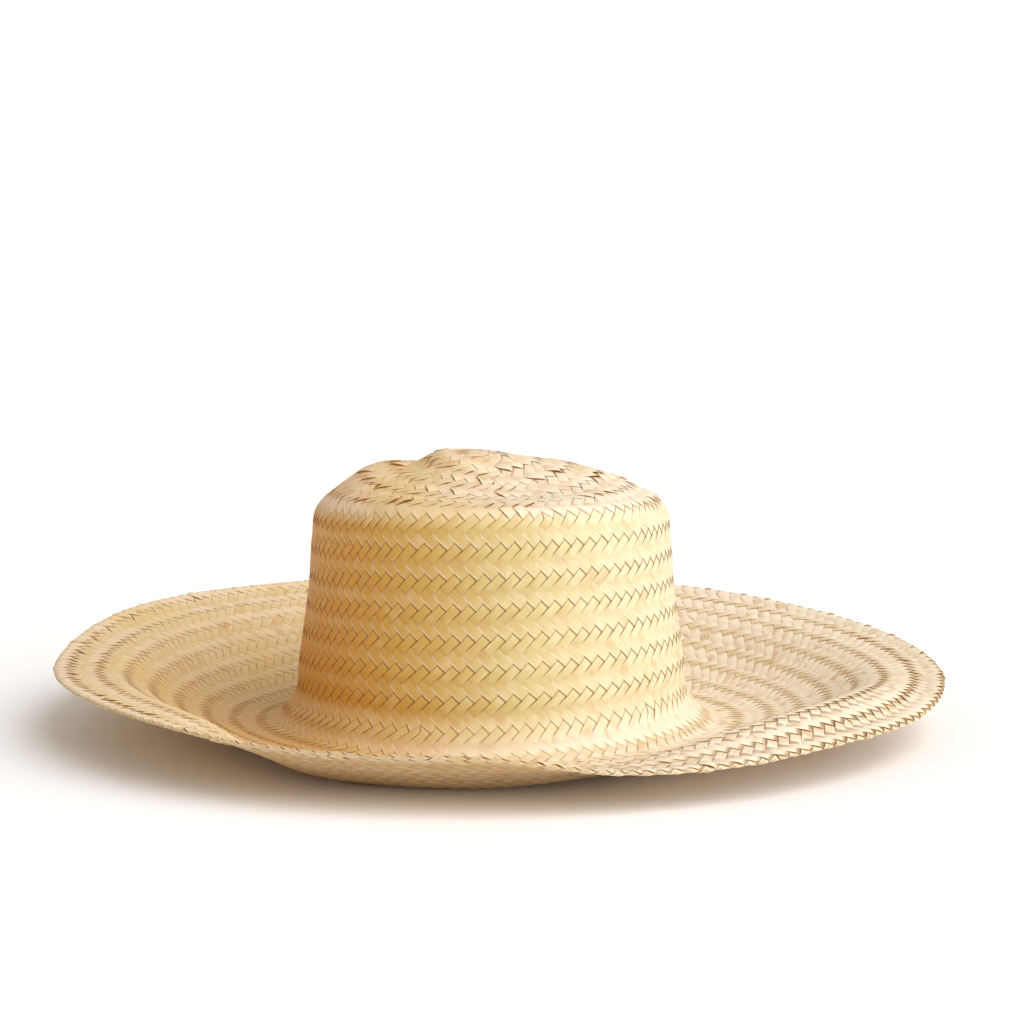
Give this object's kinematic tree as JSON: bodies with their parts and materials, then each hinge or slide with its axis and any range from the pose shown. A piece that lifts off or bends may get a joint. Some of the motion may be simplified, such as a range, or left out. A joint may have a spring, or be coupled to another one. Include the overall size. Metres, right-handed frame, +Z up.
{
  "type": "wide-brimmed straw hat",
  "caption": "Round palm-straw sun hat with a tall, slightly tapering crown, a domed and dented tip and a wide wavy brim with a folded edge.",
  "frame": {"origin": "under the middle of the hat's outline, on the surface that its brim rests on", "axes": "+Z up through the crown, -Y to the front, where the brim's edge turns up from the surface, +X to the right as seen from the front"},
  "size_m": [0.4184, 0.4176, 0.1297],
  "materials": {
    "tip_straw": "coarse twill of flat palm strands, bulging and pinkish beige, with small dark holes",
    "side_straw": "even twill of flat satin palm strands, golden, with thin brown gaps",
    "brim_straw": "twill of flat palm strands, pale cream and beige, with darker rings between its rows",
    "edge_straw": "strands folded back and woven in again, with small brown-tipped points"
  },
  "bodies": {
    "root": {"crown_tip": "tip_straw", "crown_side": "side_straw", "brim": "brim_straw", "brim_edge": "edge_straw"}
  },
  "joints": []
}
